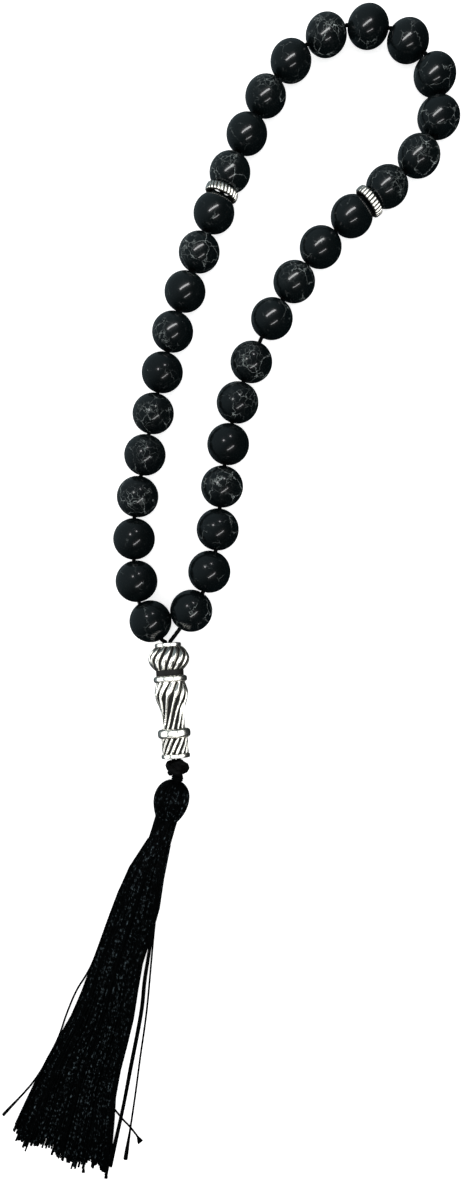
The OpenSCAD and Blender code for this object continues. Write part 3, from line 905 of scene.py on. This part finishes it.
points, quads, caps = tubes(whipping_path(), THREAD * 1.1, 6, tassel_down)
whipping = put_mesh("tassel_whipping", points, quads, silk, caps,
                    tone=np.full(points.shape[:-1], 0.55))
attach(whipping, "tassel")
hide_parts("tassel_binding")
paths, tone = lengthwise(SLEEVE_THREADS, head_high, binding_high + 1.5 * MM, sleeve_radius, 0.04, 16)
points, quads, caps = tubes(paths, THREAD, 5)
sleeve = put_mesh("tassel_sleeve", points, quads, silk, caps, tone=tone)
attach(sleeve, "tassel")
neck_core = solid_of_turning("tassel_neck_core", head_high - 0.5 * MM, binding_high, sleeve_radius,
                             0.1 * MM)
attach(neck_core, "tassel")

# The loop inside the head stays the solid piece it is, in the same silk.
loop = frame["nodes"]["tassel_loop"]
loop.data.materials.clear()
loop.data.materials.append(silk)

# ---- Skirt -------------------------------------------------------------------------------------
# Several hundred silk threads, cut across at the end. They leave the binding as a round bunch,
# fall to the table and lie in a thin fan, a few of them loose. Each cut end has frayed a little.
SKIRT_THREADS = 460
SKIRT_STEPS = 13
SPUN = 1.15  # a skirt thread's radius over a head thread's: it isn't drawn tight
FRAYED = 2.0  # a skirt thread's greatest radius, at its frayed end, over a head thread's
LOOSE_SPUN = 1.4  # a loose thread's radius over a head thread's
PILE = 2.6 * MM  # height of the heap of threads where it lies
FALL = 26 * MM  # distance in which the bunch comes down to the table
CUT = 91.3  # mm below the neck
# The fan's two edges, as (mm below the neck, mm to the side)
LEFT_EDGE = [(16, -2.6), (20, -4.2), (24, -5.4), (29, -6.2), (36, -6.8), (45, -7.3), (54, -7.8),
             (60, -8.3), (64, -9.1), (70, -10.6), (76, -11.8), (84, -13.1), (93, -14.2)]
RIGHT_EDGE = [(16, 2.6), (25, 3.5), (30, 4.2), (35, 4.4), (40, 3.9), (46, 3.9), (50, 4.5), (54, 5.3),
              (60, 5.9), (65, 6.0), (70, 6.2), (75, 6.7), (80, 8.0), (86, 9.4), (93, 10.2)]


def edge_at(edge, s):
    """The fan's edge at each reach s, on a smooth line through its points."""
    reach, offset = np.array(edge, float).T * MM
    fine = np.linspace(reach[0], reach[-1], 300)
    line = np.interp(fine, reach, offset)
    window = np.hanning(25)
    padded = np.concatenate([np.full(12, line[0]), line, np.full(12, line[-1])])
    return np.interp(s, fine, np.convolve(padded, window / window.sum(), "valid"))


def skirt_paths(count, steps):
    """Threads from the round bunch to the flat fan.

    u and v place a thread across and up, -1 to 1. In the bunch they fill a disc, as
    u sqrt(1 - v^2 / 2) and v sqrt(1 - u^2 / 2). In the fan u goes from edge to edge and v up the
    heap, which is thinner toward the edges. A smooth step leads from the one to the other, and
    each thread strays sideways by a slow sine of its own, less so toward the edges. The cut is
    a little wavy and uneven, and about one thread in eight ends up to 3 mm short of it.
    """
    start = binding_high - 1.5 * MM
    u = np.linspace(-1, 1, count) + rng.uniform(-1, 1, count) * 0.02
    v = rng.uniform(-1, 1, count)
    end = (CUT + 0.9 * np.sin(7 * u) + rng.normal(0, 0.8, count)) * MM
    end += np.where(rng.uniform(size=count) < 0.12, rng.uniform(-3, 0, count) * MM, 0)
    x = np.linspace(0, 1, steps)[None] ** 0.9
    s = start + (end[:, None] - start) * x
    left, right = edge_at(LEFT_EDGE, s), edge_at(RIGHT_EDGE, s)
    down = slope(s, start, start + FALL)
    disc_u = (u * np.sqrt(1 - v ** 2 / 2))[:, None]
    disc_v = (v * np.sqrt(1 - u ** 2 / 2))[:, None]
    place_u = disc_u + (u[:, None] - disc_u) * down
    stray = rng.normal(0, 0.22, (count, 1)) * MM * np.sin(
        2 * np.pi * (x * rng.uniform(0.4, 1.1, (count, 1)) + rng.uniform(0, 1, (count, 1))))
    inner = 1 - np.abs(u[:, None]) ** 4
    offset = (left + right) / 2 + place_u * (right - left) / 2 + stray * down * inner
    heap = (0.35 + 0.65 * (1 - u[:, None] ** 2)) * PILE
    lying = FRAYED * THREAD + (v[:, None] + 1) / 2 * heap
    height = (binding_z + disc_v * BINDING_RADIUS) * (1 - down) + lying * down
    paths = neck + s[..., None] * tassel_down + offset[..., None] * tassel_right
    paths[..., 2] = height
    return paths


def frayed(steps, radius, swell):
    """Each thread's radius: even, then swelling by a smooth step over its frayed last tenth."""
    x = np.linspace(0, 1, steps)[None, :, None]
    return radius * (1 + (swell[:, None, None] - 1) * slope(x, 0.9, 1.0))


paths = skirt_paths(SKIRT_THREADS, SKIRT_STEPS)
swell = rng.uniform(1.0, FRAYED / SPUN, SKIRT_THREADS)
radii = frayed(SKIRT_STEPS, THREAD * SPUN, swell)
points, quads, caps = tubes(paths, radii, 4)
tone = np.broadcast_to(rng.uniform(0.5, 1.15, (SKIRT_THREADS, 1, 1)), points.shape[:-1])
skirt = put_mesh("tassel_skirt_threads", points, quads, silk, caps, tone=tone)
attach(skirt, "tassel")
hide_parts("tassel_skirt")

# Loose threads, each as (mm below the neck, mm to the side), and how much its cut end has frayed
LOOSE = [
    ([(38, -6.6), (49, -7.6), (56, -9.4), (62, -10.1), (69, -10.5), (79, -12.8), (89.5, -17.7)], 1.6),
    ([(34, 4.2), (43, 6.0), (54, 8.1), (65, 9.8), (74, 11.3), (88, 13.4)], 2.2),
    ([(34, 4.0), (42, 5.2), (48, 6.0), (54, 7.1), (60, 7.8), (68, 8.6), (78, 9.6), (91, 10.6)], 1.4),
    ([(34, 3.9), (42, 5.0), (48, 5.8), (54, 6.9), (60, 7.6), (68, 8.4), (78, 9.4), (90, 10.3)], 1.4),
    ([(34, 3.8), (42, 4.8), (48, 5.5), (54, 6.6), (60, 7.3), (68, 8.1), (78, 9.2), (91, 10.1)], 1.4),
    ([(72, 3.6), (77, 5.9), (79.5, 9.3), (81, 12.4), (83, 15.7)], 3.2),
    ([(80, 1.0), (90, 3.3), (94.6, 4.8)], 1.9),
    ([(78, 6.5), (88, 8.7), (93.8, 10.3)], 1.9),
]
LOOSE_STEPS = 40
COMES_FROM = 1.6 * MM  # the height at which a loose thread leaves the heap
COMES_DOWN = (34 * MM, 62 * MM)  # reach below the neck where it leaves and where it is down


def smooth_line(points, steps):
    """A Catmull-Rom curve: on each span, a cubic through its two ends whose slope at each is half
    the way between that point's neighbours."""
    p = np.array(points, float)
    p = np.concatenate([2 * p[:1] - p[1:2], p, 2 * p[-1:] - p[-2:-1]])
    place = np.linspace(0, len(points) - 1 - 1e-9, steps)
    i, x = place.astype(int), (place % 1)[:, None]
    a, b, c, d = p[i], p[i + 1], p[i + 2], p[i + 3]
    return 0.5 * (2 * b + (c - a) * x + (2 * a - 5 * b + 4 * c - d) * x ** 2
                  + (3 * b - a - 3 * c + d) * x ** 3)


flat = np.stack([smooth_line(points, LOOSE_STEPS) for points, _ in LOOSE]) * MM
paths = neck + flat[..., :1] * tassel_down + flat[..., 1:] * tassel_right
radii = frayed(LOOSE_STEPS, THREAD * LOOSE_SPUN, np.array([swell for _, swell in LOOSE]))
down = slope(flat[..., 0], *COMES_DOWN)
paths[..., 2] = radii[..., 0] * 1.1 + COMES_FROM * (1 - down)
points, quads, caps = tubes(paths, radii, 6)
loose = put_mesh("tassel_loose_threads", points, quads, silk, caps,
                 tone=np.full(points.shape[:-1], 0.5))
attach(loose, "tassel")
